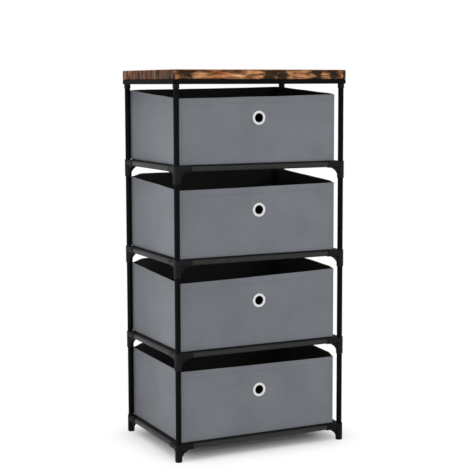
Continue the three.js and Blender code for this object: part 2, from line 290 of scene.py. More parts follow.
def rustic_foil():
    """Rustic brown foil: planks with long grain on top, mottled edges, near-black knots and splits."""
    wood = Finish("rustic_wood_foil", Specular_IOR_Level=0.12)
    plus, minus, times, spread, mixed = wood.plus, wood.minus, wood.times, wood.spread, wood.mixed

    def streaky(vector, x, y, *character):
        return wood.noise(wood.stretched(vector, (x, y, 1.0)), 1.0, *character)

    # Where a point lies on the foil: its plank, the nearest seam, and how far it is past the flat top
    flat = wood.flat_map("foil")
    low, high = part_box("top_board")
    half_x, half_y = (high.x - low.x) / 2, (high.y - low.y) / 2
    parts = wood.node("ShaderNodeSeparateXYZ", Vector=flat)
    along, across = parts.outputs[0], parts.outputs[1]
    rows = times(plus(across, half_y), PLANKS / (2 * half_y))
    number = wood.math("FLOOR", rows)
    seam = minus(0.5, wood.math("ABSOLUTE", minus(wood.math("FRACT", rows), 0.5)))
    past_x = minus(wood.math("ABSOLUTE", along), half_x)
    past_y = minus(wood.math("ABSOLUTE", across), half_y)
    edge = spread(wood.math("MAXIMUM", past_x, past_y), -1.4 * MM, 0.2 * MM)
    front = spread(across, -half_y - 1.0 * MM, -half_y + 0.4 * MM, 1.0, 0.0)

    # Noises, each plank with its own piece of them, bent a little
    steps = wood.node("ShaderNodeCombineXYZ", X=times(number, 1.73), Y=times(number, 0.41)).outputs[0]
    placed = wood.vector_math("ADD", flat, steps)
    warp = wood.node("ShaderNodeTexNoise", Vector=wood.stretched(placed, (5.0, 13.0, 1.0)), Scale=1.0,
                     Detail=3.0).outputs["Color"]
    bent = wood.vector_math("MULTIPLY_ADD", warp, (0.06, 0.026, 0.0), placed)
    streaks = streaky(bent, 2.4, 46.0, 4.0, 0.6)
    flame = streaky(bent, 19.0, 70.0, 5.0, 0.66, 0.6)
    grain = streaky(bent, 8.0, 210.0, 6.0, 0.62)
    pores = streaky(bent, 34.0, 950.0, 3.0, 0.6)
    splits = streaky(bent, 5.0, 85.0, 5.0, 0.7, 0.4)
    knots = wood.node("ShaderNodeTexVoronoi", {"feature": "SMOOTH_F1"}, Scale=1.0, Smoothness=0.25,
                      Vector=wood.stretched(bent, (3.6, 9.0, 1.0))).outputs["Distance"]
    knots = plus(knots, times(grain, 0.16))

    # Brown of the top and of the edges
    top_tone = plus(times(streaks, 0.55), times(grain, 0.45))
    edge_tone = plus(times(flame, 0.62), times(grain, 0.38))
    pale = spread(wood.nearest(along, EDGE_PATCHES), 0.4, 1.3, 0.035, 0.0)
    edge_tone = plus(edge_tone, times(front, pale))
    tone = plus(top_tone, times(edge, minus(edge_tone, top_tone)))
    colour = wood.ramp(tone, (
        (0.37, (0.012, 0.007, 0.004)),
        (0.44, (0.075, 0.033, 0.015)),
        (0.50, (0.270, 0.116, 0.047)),
        (0.56, (0.560, 0.265, 0.115)),
        (0.64, (0.820, 0.480, 0.250)),
    ))
    blush = spread(streaky(placed, 11.0, 24.0, 2.0), 0.50, 0.66, 0.0, 0.75)
    colour = wood.tinted(blush, colour, (0.92, 0.62, 0.52))
    shade = wood.node("ShaderNodeTexWhiteNoise", {"noise_dimensions": "1D"}, W=number).outputs["Value"]
    colour = wood.tinted(times(shade, 0.75), colour, (0.62, 0.60, 0.60))

    # Knots, splits, pores and the burnt places of the front edge
    colour = mixed(spread(knots, 0.14, 0.27, 0.92, 0.0), colour, (0.016, 0.011, 0.008))
    colour = mixed(spread(splits, 0.60, 0.67, 0.0, 0.85), colour, (0.015, 0.010, 0.007))
    colour = mixed(spread(pores, 0.52, 0.70, 0.0, 0.35), colour, (0.040, 0.021, 0.012))
    ragged = times(minus(flame, 0.5), 3.0)
    burnt = spread(plus(wood.nearest(along, EDGE_KNOTS), ragged), 0.45, 1.35, 0.95, 0.0)
    colour = mixed(times(front, burnt), colour, (0.014, 0.010, 0.005))

    # Duller ends, darkest at the front, and the planks' joints
    patch = plus(times(streaky(placed, 1.0, 16.0, 2.0), 0.6), times(across, 0.9))
    dulled = mixed(spread(patch, 0.18, 0.42), (0.19, 0.20, 0.23), (0.74, 0.62, 0.56))
    colour = wood.tinted(spread(past_x, -1.0 * MM, 0.2 * MM, 0.0, 0.9), colour, dulled)
    joint = times(spread(seam, 0.002, 0.009, 1.0, 0.0), minus(1.0, edge))
    colour = mixed(times(joint, 0.85), colour, (0.014, 0.009, 0.006))
    wood.to_shader("Base Color", colour)
    wood.to_shader("Roughness", spread(tone, 0.3, 0.7, 0.66, 0.48))
    relief = wood.bump(splits, 0.0002, -0.5, Normal=wood.bump(pores, 0.00012, -0.5))
    wood.to_shader("Normal", wood.bump(joint, 0.0004, -0.7, Normal=relief))
    return wood.material


def bright_metal():
    """Nickel-plated eyelet with faint brushing and handling haze."""
    metal = Finish("nickel_plate", Metallic=1.0)
    at = metal.place()
    haze = metal.noise(at, 120.0, 4.0)
    metal.shades(haze, (0.66, 0.655, 0.645), (0.82, 0.82, 0.81))
    metal.to_shader("Roughness", metal.spread(haze, 0.3, 0.7, 0.16, 0.30))
    metal.to_shader("Normal", metal.bump(metal.noise(at, 1800.0, 2.0), 0.00002, 0.4))
    return metal.material


def shelf_finish():
    """Black coated shelf panel with a light leather-like grain."""
    coat = Finish("black_shelf_coating", Specular_IOR_Level=0.07)
    at = coat.place()
    cells = coat.node("ShaderNodeTexVoronoi", Vector=at, Scale=420.0).outputs["Distance"]
    coat.shades(coat.noise(at, 16.0, 3.0), (0.0055, 0.0055, 0.0058), (0.0095, 0.0095, 0.0098))
    coat.to_shader("Roughness", coat.spread(cells, 0.1, 0.6, 0.5, 0.72))
    coat.to_shader("Normal", coat.bump(cells, 0.00012, 0.5))
    return coat.material


# Meshes. The two turns lay what stands along +Z along +X or +Y. Shading angles are in degrees.
SAME_POINT = 1e-7
UPRIGHT, TO_X, TO_Y = Matrix(), Matrix.Rotation(math.pi / 2, 4, "Y"), Matrix.Rotation(-math.pi / 2, 4, "X")
ALL_SMOOTH, SHARP, SOFT_SHARP, MOULDED_SHARP, CLOTH_SHARP = 180, 32, 40, 28, 50
TURNED_SIDES, MOULDED_SIDES, EYELET_SIDES, CUTTER_SIDES = 56, 48, 72, 40


def arc(steps, end=math.pi / 2):
    """Sine and cosine at even steps from 0 to an end angle."""
    return [(math.sin(end * step / steps), math.cos(end * step / steps)) for step in range(steps + 1)]


def shade(mesh, sharp):
    """Smooth shading, but for the edges over an angle."""
    mesh.shade_smooth()
    mesh.set_sharp_from_angle(angle=math.radians(sharp))


def finished(made, name, sharp=None):
    """A bmesh as a mesh with its faces turned outwards, shaded if an angle is given."""
    bmesh.ops.recalc_face_normals(made, faces=made.faces)
    mesh = bpy.data.meshes.new(name)
    made.to_mesh(mesh)
    made.free()
    if sharp:
        shade(mesh, sharp)
    return mesh


def skin(made, rings, layer=None, places=None):
    """Faces between rings of vertices. A mapped ring has one place more than it has vertices."""
    count = len(rings[0])
    for row in range(len(rings) - 1):
        for i in range(count):
            j = (i + 1) % count
            face = made.faces.new((rings[row][i], rings[row][j], rings[row + 1][j], rings[row + 1][i]))
            if places:
                corners = (places[row][i], places[row][i + 1], places[row + 1][i + 1], places[row + 1][i])
                for loop, place in zip(face.loops, corners):
                    loop[layer].uv = place


def ringed_mesh(name, rings, closed, capped=False, sharp=SHARP):
    """A mesh of rings of points, the last one joined to the first, or both of them capped."""
    made = bmesh.new()
    rings = [[made.verts.new(point) for point in ring] for ring in rings]
    skin(made, [*rings, rings[0]] if closed else rings)
    if capped:
        made.faces.new(rings[0])
        made.faces.new(rings[-1])
    bmesh.ops.remove_doubles(made, verts=made.verts, dist=SAME_POINT)
    return finished(made, name, sharp)


def turned(name, profile, sides=TURNED_SIDES, sharp=SHARP):
    """A profile of (radius, height) turned round +Z, either closed or from axis to axis."""
    rings = [[(radius * cosine, radius * sine, height) for sine, cosine in arc(sides, 2 * math.pi)[:-1]]
             for radius, height in profile]
    return ringed_mesh(name, rings, profile[0][0] > 0, sharp=sharp)


def curve(start, control, end, steps):
    """Points of a quadratic curve."""
    shares = [step / steps for step in range(steps + 1)]
    return [start * (1 - t) ** 2 + control * 2 * t * (1 - t) + end * t * t for t in shares]


def softened(outline, radius, steps=3):
    """A closed outline with its corners rounded off, over less than half of a side."""
    points = [Vector(p) for p in outline]
    rounded = []
    for before, here, after in zip(points[-1:] + points[:-1], points, points[1:] + points[:1]):
        cut = min(radius, (before - here).length * 0.45, (after - here).length * 0.45)
        start = here + (before - here).normalized() * cut
        end = here + (after - here).normalized() * cut
        rounded += [tuple(p) for p in curve(start, here, end, steps)]
    return rounded


def rectangle(width, depth, radius, steps=7):
    """Corner points of a rounded rectangle with their outward directions, anticlockwise."""
    points = []
    for x, y, start in ((1, -1, -90), (1, 1, 0), (-1, 1, 90), (-1, -1, 180)):
        middle = Vector((x * (width / 2 - radius), y * (depth / 2 - radius)))
        for step in range(steps + 1):
            angle = math.radians(start + 90 * step / steps)
            out = Vector((math.cos(angle), math.sin(angle)))
            points.append((middle + out * radius, out))
    return points


def cut_or_joined(base, tools, operation):
    """The base mesh joined with the tool meshes or cut by them."""
    host = linked("boolean_host", base)
    helpers = [linked("boolean_tool", tool) for tool in tools]
    for helper in helpers:
        step = host.modifiers.new("step", "BOOLEAN")
        step.operation, step.solver, step.object = operation, "EXACT", helper
    graph = bpy.context.evaluated_depsgraph_get()
    result = bpy.data.meshes.new_from_object(host.evaluated_get(graph))
    for helper in (host, *helpers):
        bpy.data.objects.remove(helper)
    return result


def add_piece(name, mesh, material, body, instead_of=(), matrix=None):
    """Adds a mesh as a named piece that rides on a body and stands for CAD nodes."""
    mesh.materials.clear()
    mesh.materials.append(material)
    piece = linked(name, mesh)
    if matrix is not None:
        piece.matrix_world = matrix
    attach(piece, body)
    if instead_of:
        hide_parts(*instead_of)


def middle_of(node):
    low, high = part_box(node)
    return (low + high) / 2


# Sizes read from the frame
post_low, post_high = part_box("post_front_left")
tube_radius = (post_high.x - post_low.x) / 2
corner_places = {c: Vector(middle_of(f"post_{c}")[:2]) for c in CORNERS}
rail_heights = {k: middle_of(f"rail_{k}_front").z for k in LEVELS}

# Posts, rails and collars. A collar has a cuff below, a slimmer neck, and its full width again at the frame.
TUBE_WALL, TUBE_EDGE, FIT_GAP = 1.2 * MM, 0.35 * MM, 0.3 * MM
CUFF, CUFF_SLOPE, UPPER_SLOPE = 3.2 * MM, 1 * MM, 0.9 * MM
NECK_DEPTH, COLLAR_EDGE = 0.6 * MM, 0.6 * MM


def add_tube(piece, node, axis, paint):
    """A tube with softly broken ends along an axis of the frame."""
    low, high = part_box(node)
    half, bore = (high[axis] - low[axis]) / 2, tube_radius - TUBE_WALL
    section = softened([(bore, -half), (tube_radius, -half), (tube_radius, half), (bore, half)], TUBE_EDGE, 2)
    place = Matrix.Translation((low + high) / 2) @ (TO_X, TO_Y, UPRIGHT)[axis]
    add_piece(piece, turned(node, section), paint, "frame", [node], place)


def add_tubes(shaded_post_paint, rail_paint):
    for corner in CORNERS:
        add_tube(f"post_tube_{corner}", f"post_{corner}", 2, shaded_post_paint)
    for level in LEVELS:
        for side, axis in (("front", 0), ("back", 0), ("left", 1), ("right", 1)):
            add_tube(f"rail_tube_{level}_{side}", f"rail_{level}_{side}", axis, rail_paint)


def add_collars(plastic):
    low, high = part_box("post_collar_front_left")
    bore, outer = tube_radius + FIT_GAP, (high.x - low.x) / 2
    neck = outer - NECK_DEPTH
    frame_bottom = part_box("top_frame")[0].z
    mesh = turned("post_collar", softened([
        (bore, low.z), (outer, low.z), (outer, low.z + CUFF), (neck, low.z + CUFF + CUFF_SLOPE),
        (neck, frame_bottom - UPPER_SLOPE), (outer, frame_bottom), (outer, high.z), (bore, high.z),
    ], COLLAR_EDGE))
    for corner in CORNERS:
        add_piece(f"collar_{corner}", mesh, plastic, "frame", [f"post_collar_{corner}"],
                  Matrix.Translation((*corner_places[corner], 0)))


# Connectors, measured from the crossing of the post and rail axes
SLEEVE_RADIUS, SOCKET_RADIUS, SOCKET_REACH = 10.2 * MM, 9.9 * MM, 44 * MM
LEG_LENGTH, RAIL_STOP, FOOT_SOLE, BORE_PAST = 41 * MM, 11.4 * MM, 6 * MM, 2 * MM
WEB_THICK, WEB_START, WEB_REACH, WEB_DROP = 5 * MM, 8.1 * MM, 34 * MM, 31 * MM
WEB_HOLLOW, WEB_STEPS = 0.5, 14
RIM, RIM_BREAK, FOOT_ROUND, FUNNEL = 0.7 * MM, 0.2 * MM, 2.4 * MM, 0.8 * MM
GROOVE_WIDTH, GROOVE_SLOPE, GROOVE_DEPTH = 1.4 * MM, 0.4 * MM, 0.35 * MM
SLEEVE_GROOVE, SOCKET_GROOVE = 4.6 * MM, 5.4 * MM


def groove(radius, start):
    """The part of a profile with a shallow ring groove."""
    floor, end = radius - GROOVE_DEPTH, start + GROOVE_WIDTH
    return [(radius, start), (floor, start + GROOVE_SLOPE), (floor, end - GROOVE_SLOPE), (radius, end)]


def blunt_end(radius, end):
    """The last part of a profile, over a softly broken edge to the axis."""
    broken = (radius - RIM_BREAK, end - RIM_BREAK)
    return [(radius, end - RIM), broken, (radius - RIM, end), (0, end)]


def bore_profile(start, end):
    """A tube's bore that opens in a funnel."""
    bore, past = tube_radius + FIT_GAP, end + FUNNEL
    return [(0, start), (bore, start), (bore, end - FUNNEL), (bore + 2 * FUNNEL, past), (0, past)]


def web_mesh():
    """The web under the socket along +X, with its hollow lower edge and softened rims."""
    low_point = Vector((SLEEVE_RADIUS - FIT_GAP, -WEB_DROP))
    far_point = Vector((WEB_REACH, -SOCKET_RADIUS + FIT_GAP))
    bend = low_point.lerp(far_point, 0.5).lerp(Vector((SLEEVE_RADIUS, -SOCKET_RADIUS)), WEB_HOLLOW)
    outline = [Vector((WEB_START, -WEB_START)), Vector((WEB_START, -WEB_DROP)),
               *curve(low_point, bend, far_point, WEB_STEPS), Vector((WEB_REACH, -WEB_START))]
    half = WEB_THICK / 2
    rings = []
    for y, inset in ((-half, RIM), (RIM - half, 0), (half - RIM, 0), (half, RIM)):
        ring = []
        for before, here, after in zip(outline[-1:] + outline[:-1], outline, outline[1:] + outline[:1]):
            along = (after - before).normalized()
            ring.append((here.x - along.y * inset, y, here.y + along.x * inset))
        rings.append(ring)
    return ringed_mesh("web", rings, False, True)


def connector_mesh(name, leg_bottom, foot):
    """Sleeve, two sockets and two webs as one moulded piece."""
    end = FOOT_ROUND if foot else RIM
    low_rim = [(SLEEVE_RADIUS - end + end * sine, leg_bottom + end - end * cosine) for sine, cosine in arc(5)]
    band = [] if foot else groove(SLEEVE_RADIUS, leg_bottom + SLEEVE_GROOVE)
    sleeve = [(0, leg_bottom), *low_rim, *band, *blunt_end(SLEEVE_RADIUS, SOCKET_RADIUS)]
    socket = [(0, 0), (SOCKET_RADIUS, 0), *groove(SOCKET_RADIUS, SOCKET_REACH - SOCKET_GROOVE),
              *blunt_end(SOCKET_RADIUS, SOCKET_REACH)]
    rail_bore = bore_profile(RAIL_STOP, SOCKET_REACH)
    post_bore = bore_profile(leg_bottom + (FOOT_SOLE if foot else -BORE_PAST), SOCKET_RADIUS)

    def form(label, profile, turn=UPRIGHT):
        mesh = turned(label, profile, MOULDED_SIDES)
        mesh.transform(turn)
        return mesh

    web_y = web_mesh()
    web_y.transform(Matrix.Rotation(math.pi / 2, 4, "Z"))
    forms = [form("socket_x", socket, TO_X), form("socket_y", socket, TO_Y), web_mesh(), web_y]
    whole = cut_or_joined(form("sleeve", sleeve), forms, "UNION")
    bores = [form("post_bore", post_bore), form("bore_x", rail_bore, TO_X), form("bore_y", rail_bore, TO_Y)]
    whole = cut_or_joined(whole, bores, "DIFFERENCE")
    whole.name = name
    shade(whole, MOULDED_SHARP)
    return whole


def add_connectors(plastic, shaded_foot_plastic):
    foot = connector_mesh("foot_connector", -rail_heights[1], True)
    upper = connector_mesh("connector", -LEG_LENGTH, False)
    for level in LEVELS:
        for quarter, corner in enumerate(CORNERS):
            node = f"foot_connector_{corner}" if level == 1 else f"connector_{level}_{corner}"
            place = Matrix.Translation((*corner_places[corner], rail_heights[level]))
            turn = Matrix.Rotation(quarter * math.pi / 2, 4, "Z")
            # The feet take the shaded copy of the plastic: painted shade for the shadow round the feet.
            mesh, finish = (foot, shaded_foot_plastic) if level == 1 else (upper, plastic)
            add_piece(f"moulded_{node}", mesh, finish, "frame", [node], place @ turn)


# Board, angle frame and shelf panels. Pieces that rest on each other close the gap of the CAD solids.
REST_GAP = 0.27 * MM
BOARD_EDGE, BOARD_CORNER, UNDERSIDE_SHIFT = 3.8 * MM, 5.5 * MM, 3.0
FRAME_WALL, FRAME_FLANGE, FRAME_EDGE = 1.2 * MM, 26 * MM, 0.4 * MM
FRAME_CORNER, LEAST_CORNER = 5 * MM, 1.5 * MM
BESIDE_SOCKET, ROUND_SLEEVE, PANEL_EDGE = 6.6 * MM, 8.6 * MM, 0.5 * MM


def add_board(wood):
    """A board with rounded edges. Its map runs from the flat top down over the edges."""
    low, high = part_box("top_board")
    width, depth = high.x - low.x, high.y - low.y
    edge = BOARD_EDGE
    profile = [(edge - edge * sine, high.z - edge + edge * cosine) for sine, cosine in arc(6)]
    profile += [(edge - edge * cosine, low.z + edge - edge * sine) for sine, cosine in arc(6)]
    made = bmesh.new()
    foil = made.loops.layers.uv.new("foil")
    flat_edge = rectangle(width - 2 * edge, depth - 2 * edge, BOARD_CORNER - edge)
    rings, places, gone, last = [], [], 0.0, profile[0]
    for inset, z in profile:
        gone += math.dist(last, (inset, z))
        last = (inset, z)
        ring = rectangle(width - 2 * inset, depth - 2 * inset, BOARD_CORNER - inset)
        rings.append([made.verts.new((*point, z)) for point, _ in ring])
        places.append([point + out * gone for point, out in (*flat_edge, flat_edge[0])])
    skin(made, rings, foil, places)
    for ring, shift in ((rings[0], 0.0), (rings[-1][::-1], UNDERSIDE_SHIFT)):
        for loop in made.faces.new(ring).loops:
            loop[foil].uv = (loop.vert.co.x + shift, loop.vert.co.y)
    board = finished(made, "board", SOFT_SHARP)
    add_piece("wood_top_board", board, wood, "frame", ["top_board"])


def add_top_frame(paint):
    low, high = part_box("top_frame")
    bottom, top = low.z, high.z + REST_GAP
    under = top - FRAME_WALL
    section = softened([(0, bottom), (0, top), (FRAME_FLANGE, top), (FRAME_FLANGE, under),
                        (FRAME_WALL, under), (FRAME_WALL, bottom)], FRAME_EDGE, 2)
    rings = []
    for inset, z in section:
        width, depth = high.x - low.x - 2 * inset, high.y - low.y - 2 * inset
        ring = rectangle(width, depth, max(FRAME_CORNER - inset, LEAST_CORNER))
        rings.append([(*point, z) for point, _ in ring])
    mesh = ringed_mesh("top_frame", rings, True)
    add_piece("steel_top_frame", mesh, paint, "frame", ["top_frame"])


def add_shelf_panels(coat):
    """Panels on the rails, with their corners notched round the sleeves and between the sockets."""
    half_x, half_y = corner_places["front_right"].x, corner_places["rear_right"].y
    past = SOCKET_REACH + FIT_GAP
    for level in LEVELS:
        node = f"shelf_panel_{level}"
        low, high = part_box(node)
        bottom = low.z - REST_GAP
        beside_x, beside_y = half_x - BESIDE_SOCKET, half_y - BESIDE_SOCKET
        steps = [(high.x, half_y - past), (beside_x, half_y - past), (beside_x, half_y - ROUND_SLEEVE),
                 (half_x - ROUND_SLEEVE, beside_y), (half_x - past, beside_y), (half_x - past, high.y)]
        back = steps[::-1]
        outline = [*steps, *((-x, y) for x, y in back), *((-x, -y) for x, y in steps),
                   *((x, -y) for x, y in back)]
        made = bmesh.new()
        made.faces.new([made.verts.new((x, y, bottom)) for x, y in outline])
        lifted = bmesh.ops.extrude_face_region(made, geom=made.faces[:])["geom"]
        lifted = [part for part in lifted if isinstance(part, bmesh.types.BMVert)]
        bmesh.ops.translate(made, vec=(0, 0, high.z - bottom), verts=lifted)
        bmesh.ops.recalc_face_normals(made, faces=made.faces)
        bmesh.ops.bevel(made, geom=made.edges[:], offset=PANEL_EDGE, segments=2, profile=0.5, affect="EDGES")
        panel = finished(made, node, SOFT_SHARP)
        add_piece(f"coated_shelf_{level}", panel, coat, "frame", [node])


# Fabric drawers. Distances round the walls start at the front left corner and run anticlockwise.
# Each wall has its run's direction and its outward direction.
WALL_RUNS = (((1, 0), (0, -1)), ((0, 1), (1, 0)), ((-1, 0), (0, 1)), ((0, -1), (-1, 0)))
CORNER_RADIUS = 4.5 * MM
SHOULDER, RIM_RIPPLE, RIM_SAG = 0.07, 1.0 * MM, 0.7 * MM

# Rim heights in millimetres at front left, front right, rear right and rear left, bows of the four walls, and
# how far each rim stands above the line between its corners near its two ends
RIMS = {4: (186.7, 195.7, 218, 209), 3: (194.6, 200.3, 222, 212.3), 2: (195.7, 207.4, 222, 212.3),
        1: (207.3, 204.6, 222, 212.3)}
BOWS = {4: (-0.6, 1.6, 1.2, -2.2), 3: (0.9, 2.2, 1.0, -2.8), 2: (0.7, 1.8, -1.0, -2.4),
        1: (1.1, 2.4, 1.4, -1.8)}
LIFTS = {4: ((0, 0), (2, 1), (0, 1), (0, 0)), 3: ((0, 0), (3, 2), (2, 8), (0, 0)),
         2: ((0, 0), (4, 2), (3, 10), (0, 0)), 1: ((0, 0), (7, 3), (3, 11), (0, 0))}

# Waves in a wall as (scale in plan, scale upwards, shift from drawer to drawer, depth)
WAVES = ((7, 9, 11, 1.1 * MM), (26, 30, 5, 0.28 * MM))
LEFT, FRONT = 3, 0
LEFT_CLEAR, EYELET_FLAT, EYELET_EASE = 0.1 * MM, 24 * MM, 30 * MM

# Hem and corner seams with their pressed lines, and the rounded floor edge and rim of the cloth
HEM_DROP, HEM_THICK, HEM_EASE, SEAM_INSET = 18.5 * MM, 0.18 * MM, 2 * MM, 3.5 * MM
LINE_WIDTH, HEM_LINE, SEAM_LINE = 1.1 * MM, 0.32 * MM, 0.45 * MM
FLOOR_ROUND, CLOTH_THICK = 2.6 * MM, 1.5 * MM
LINING_OUTER, LINING_INNER = 1.65 * MM, 2.95 * MM

# Columns as (millimetres from a corner at which they stand close, spacing between, steps round the corner)
FINE_COLUMNS = ((0, 1.4, 2.4, 3.0, 3.5, 4.0, 4.6, 5.8, 8.0), 9, 7)
COARSE_COLUMNS = ((0, 4.0), 18, 4)
MAPPED_RIM = 200 * MM

# Stitches: their rings as (share of the length, share of the thread's thickness)
STITCH_PITCH, STITCH_LENGTH, THREAD = 4.4 * MM, 3.1 * MM, 0.30 * MM
STITCH_RINGS = ((0.0, 0.25), (0.12, 0.8), (0.5, 1.0), (0.88, 0.8), (1.0, 0.25))
STITCH_OUT, STITCH_ARCH, STITCH_SINK = 0.12 * MM, 0.16 * MM, 0.05 * MM
SEAM_START, SEAM_SHORT = 6 * MM, 8 * MM


def uneven(x, y, z, depth):
    return noise.noise(Vector((x, y, z))) * depth


def line(distance, depth):
    """Depth of a pressed line at a distance from its middle."""
    return depth * math.exp(-(distance / LINE_WIDTH) ** 2)


class Drawer:
    """The soft shape of one fabric drawer: its walls' path, rim heights and gentle bulges."""

    def __init__(self, level):
        self.level = level
        self.low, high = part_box(f"drawer_{level}_fabric_bin")
        self.width, self.depth = high.x - self.low.x, high.y - self.low.y
        self.middle = (self.low + high) / 2
        self.rims = [height * MM for height in RIMS[level]]
        self.bows = [bow * MM for bow in BOWS[level]]
        self.lifts = [(first * MM, last * MM) for first, last in LIFTS[level]]
        self.straight = [self.width - 2 * CORNER_RADIUS, self.depth - 2 * CORNER_RADIUS] * 2
        self.arc = CORNER_RADIUS * math.pi / 2
        self.length = sum(self.straight) + 4 * self.arc
        self.eyelet = middle_of(f"drawer_{level}_eyelet").xz

    def on_side(self, side, along):
        """Plan point on a wall and the wall's outward direction."""
        step, out = (Vector(direction) for direction in WALL_RUNS[side])
        reach = (self.depth, self.width)[side % 2] / 2
        return out * reach + step * (along - self.straight[side] / 2), out

    def spot(self, along):
        """Side number, share along it or 1 to 2 round its corner, plan point and outward direction."""
        along %= self.length
        for side in range(4):
            if along < self.straight[side]:
                return side, along / self.straight[side], *self.on_side(side, along)
            along -= self.straight[side]
            if along < self.arc:
                turn = along / self.arc
                point, out = self.on_side(side, self.straight[side])
                centre = point - out * CORNER_RADIUS
                angle = math.atan2(out.y, out.x) + turn * math.pi / 2
                out = Vector((math.cos(angle), math.sin(angle)))
                return side, 1 + turn, centre + out * CORNER_RADIUS, out
            along -= self.arc
        return self.spot(0.0)

    def rim(self, side, share):
        """Height of the rim above the floor of the drawer."""
        t = min(share, 1.0)
        start, end = self.rims[side], self.rims[(side + 1) % 4]
        first, last = self.lifts[side]
        shoulder = min(1.0, t / SHOULDER, (1 - t) / SHOULDER)
        shoulder = shoulder * shoulder * (3 - 2 * shoulder)
        lift = (first * (1 - t) + last * t) * shoulder
        ripple = uneven(t * 5 + side * 7, self.level * 3.7, 0.5, RIM_RIPPLE)
        return start * (1 - t) + end * t + lift + (ripple - RIM_SAG) * math.sin(math.pi * t)

    def bulge(self, side, share, rise, place, height):
        """How far the wall stands out from its flat plane."""
        if share >= 1:
            return 0.0
        free = min(1.0, share * (1 - share) * 9)
        bow = math.sin(math.pi * share) * (0.25 + 0.75 * rise) * math.sin(math.pi * min(rise, 0.62))
        waves = sum(uneven(place.x * plan, place.y * plan, height * upright + self.level * shift, depth)
                    for plan, upright, shift, depth in WAVES)
        total = self.bows[side] * bow + waves * free * min(1.0, rise * 6)
        if side == LEFT:
            total = min(total, 0.0) - LEFT_CLEAR * free
        if side == FRONT:
            gone = (Vector((self.middle.x + place.x, self.low.z + height)) - self.eyelet).length
            total *= min(1.0, max(0.0, (gone - EYELET_FLAT) / EYELET_EASE))
        return total

    def surface(self, along, height_of, inset=0.0, lines=True):
        """The point on the wall at a distance along it, at height_of(rim), set in by inset."""
        side, share, place, out = self.spot(along)
        rim = self.rim(side, share)
        height = height_of(rim)
        rise = min(1.0, max(0.0, height / rim))
        stand = self.bulge(side, share, rise, place, height) - inset
        if lines:
            over_line = HEM_DROP - (rim - height)
            stand -= line(over_line, HEM_LINE)
            stand += HEM_THICK * min(1.0, max(0.0, over_line / HEM_EASE))
            if share < 1:
                edge = min(share, 1 - share) * self.straight[side]
                stand -= line(edge - SEAM_INSET, SEAM_LINE)
        spot = place + out * stand
        return Vector((self.middle.x + spot.x, self.middle.y + spot.y, self.low.z + height))

    def columns(self, near, spacing, bends):
        """Distances along the walls at which the mesh has its columns."""
        near = [n * MM for n in near]
        marks, start = [], 0.0
        for run in self.straight:
            free = run - 2 * near[-1]
            count = round(free / (spacing * MM))
            between = [near[-1] + free * i / count for i in range(1, count)]
            marks += [start + d for d in (*near, *between, *(run - n for n in near[::-1]))]
            start += run
            marks += [start + self.arc * i / bends for i in range(1, bends)]
            start += self.arc
        return marks

    def shell(self, name, rows, columns):
        """A closed body with the finger hole through its front. Its rows are (height_of, inset, lines)."""
        made = bmesh.new()
        cloth = made.loops.layers.uv.new("cloth")
        marks = self.columns(*columns)
        rings = [[made.verts.new(self.surface(mark, *row)) for mark in marks] for row in rows]
        marks.append(self.length)
        heights = [height_of(MAPPED_RIM) * (-1 if inset > 1 * MM else 1) for height_of, inset, _ in rows]
        skin(made, rings, cloth, [[(mark, height) for mark in marks] for height in heights])
        for ring in (rings[0], rings[-1]):
            for loop in made.faces.new(ring).loops:
                loop[cloth].uv = loop.vert.co.xy
        past, radius = 9 * MM, 14.5 * MM
        cutter = turned("hole", [(0, -past), (radius, -past), (radius, past), (0, past)], CUTTER_SIDES)
        cutter.transform(Matrix.Translation((self.eyelet.x, self.low.y, self.eyelet.y)) @ TO_Y)
        holed = cut_or_joined(finished(made, name), [cutter], "DIFFERENCE")
        shade(holed, CLOTH_SHARP)
        return holed


def level_row(height):
    return lambda rim: height


def under_rim(drop):
    return lambda rim: rim - drop


def part_way(share, low, drop):
    return lambda rim: low + (rim - drop - low) * share


def fabric_rows():
    """Rows of the outer cloth: floor edge, wall, hem, rim and back down inside."""
    edge, lip = FLOOR_ROUND, CLOTH_THICK / 2
    rows = [(level_row(edge - edge * cosine), edge - edge * sine, False) for sine, cosine in arc(4)[:-1]]
    rows += [(part_way(i / 18, edge, 24 * MM), 0.0, True) for i in range(19)]
    drops = (21.5, 20.3, 19.5, 18.9, 18.5, 18.1, 17.5, 16.6, 15.0, 11.0, 6.0, 2.6)
    rows += [(under_rim(drop * MM), 0.0, True) for drop in drops]
    rows += [(under_rim(lip - lip * sine), lip - lip * cosine, True) for sine, cosine in arc(6, math.pi)]
    rows += [(under_rim(drop * MM), CLOTH_THICK, False) for drop in (4.0, 12.0, 24.0)]
    rows += [(part_way(1 - i / 5, 1.4 * MM, 30 * MM), CLOTH_THICK, False) for i in range(6)]
    return rows


def lining_rows():
    """Rows of the black lining, from its hidden outer floor edge over its rim to the floor inside."""
    outer, inner = LINING_OUTER, LINING_INNER
    rows = [(part_way(i / 5, 1.5 * MM, 24 * MM), outer, False) for i in range(6)]
    rows += [(under_rim(drop * MM), outer, False) for drop in (12.0, 4.0, 2.2)]
    rows.append((under_rim(1.5 * MM), (outer + inner) / 2, False))
    rows += [(under_rim(drop * MM), inner, False) for drop in (2.2, 5.0, 10.0, 16.0, 18.5, 21.0, 28.0)]
    rows += [(part_way(1 - i / 12, 3.0 * MM, 28 * MM), inner, False) for i in range(1, 13)]
    return rows


